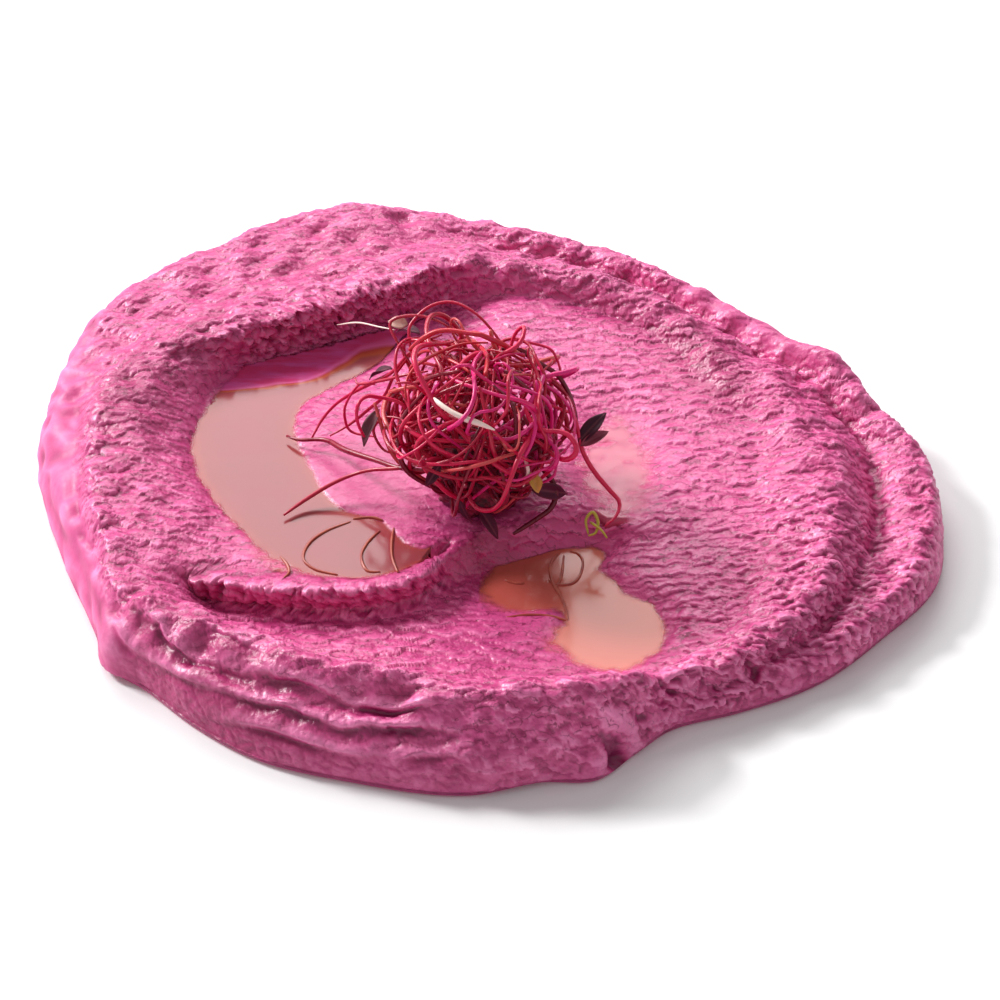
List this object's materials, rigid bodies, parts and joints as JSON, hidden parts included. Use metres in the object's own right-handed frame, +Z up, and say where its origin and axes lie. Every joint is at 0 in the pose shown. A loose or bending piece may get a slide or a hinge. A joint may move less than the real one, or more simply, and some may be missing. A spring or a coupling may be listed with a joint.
{
  "type": "beetroot hummus",
  "caption": "Swirl of pink beetroot hummus spread on a flat surface, with a raised craggy rim, pools of oil and a nest of red sprouts.",
  "frame": {"origin": "on the surface that the hummus lies on, under the middle of its bounding box", "axes": "+Z up, +X to the right and +Y away from someone who looks at the step in the swirl's front left"},
  "size_m": [0.2044, 0.1848, 0.0538],
  "materials": {
    "hummus": "moist, finely grained pink paste with a dull sheen",
    "oil": "clear oil over pink paste, glossy, dusty peach",
    "sprouts": "crimson stems and small dark leaves, moist"
  },
  "bodies": {
    "root": {"hummus": "hummus", "oil_left": "oil", "oil_front": "oil", "oil_right": "oil", "sprouts": "sprouts"}
  },
  "joints": []
}
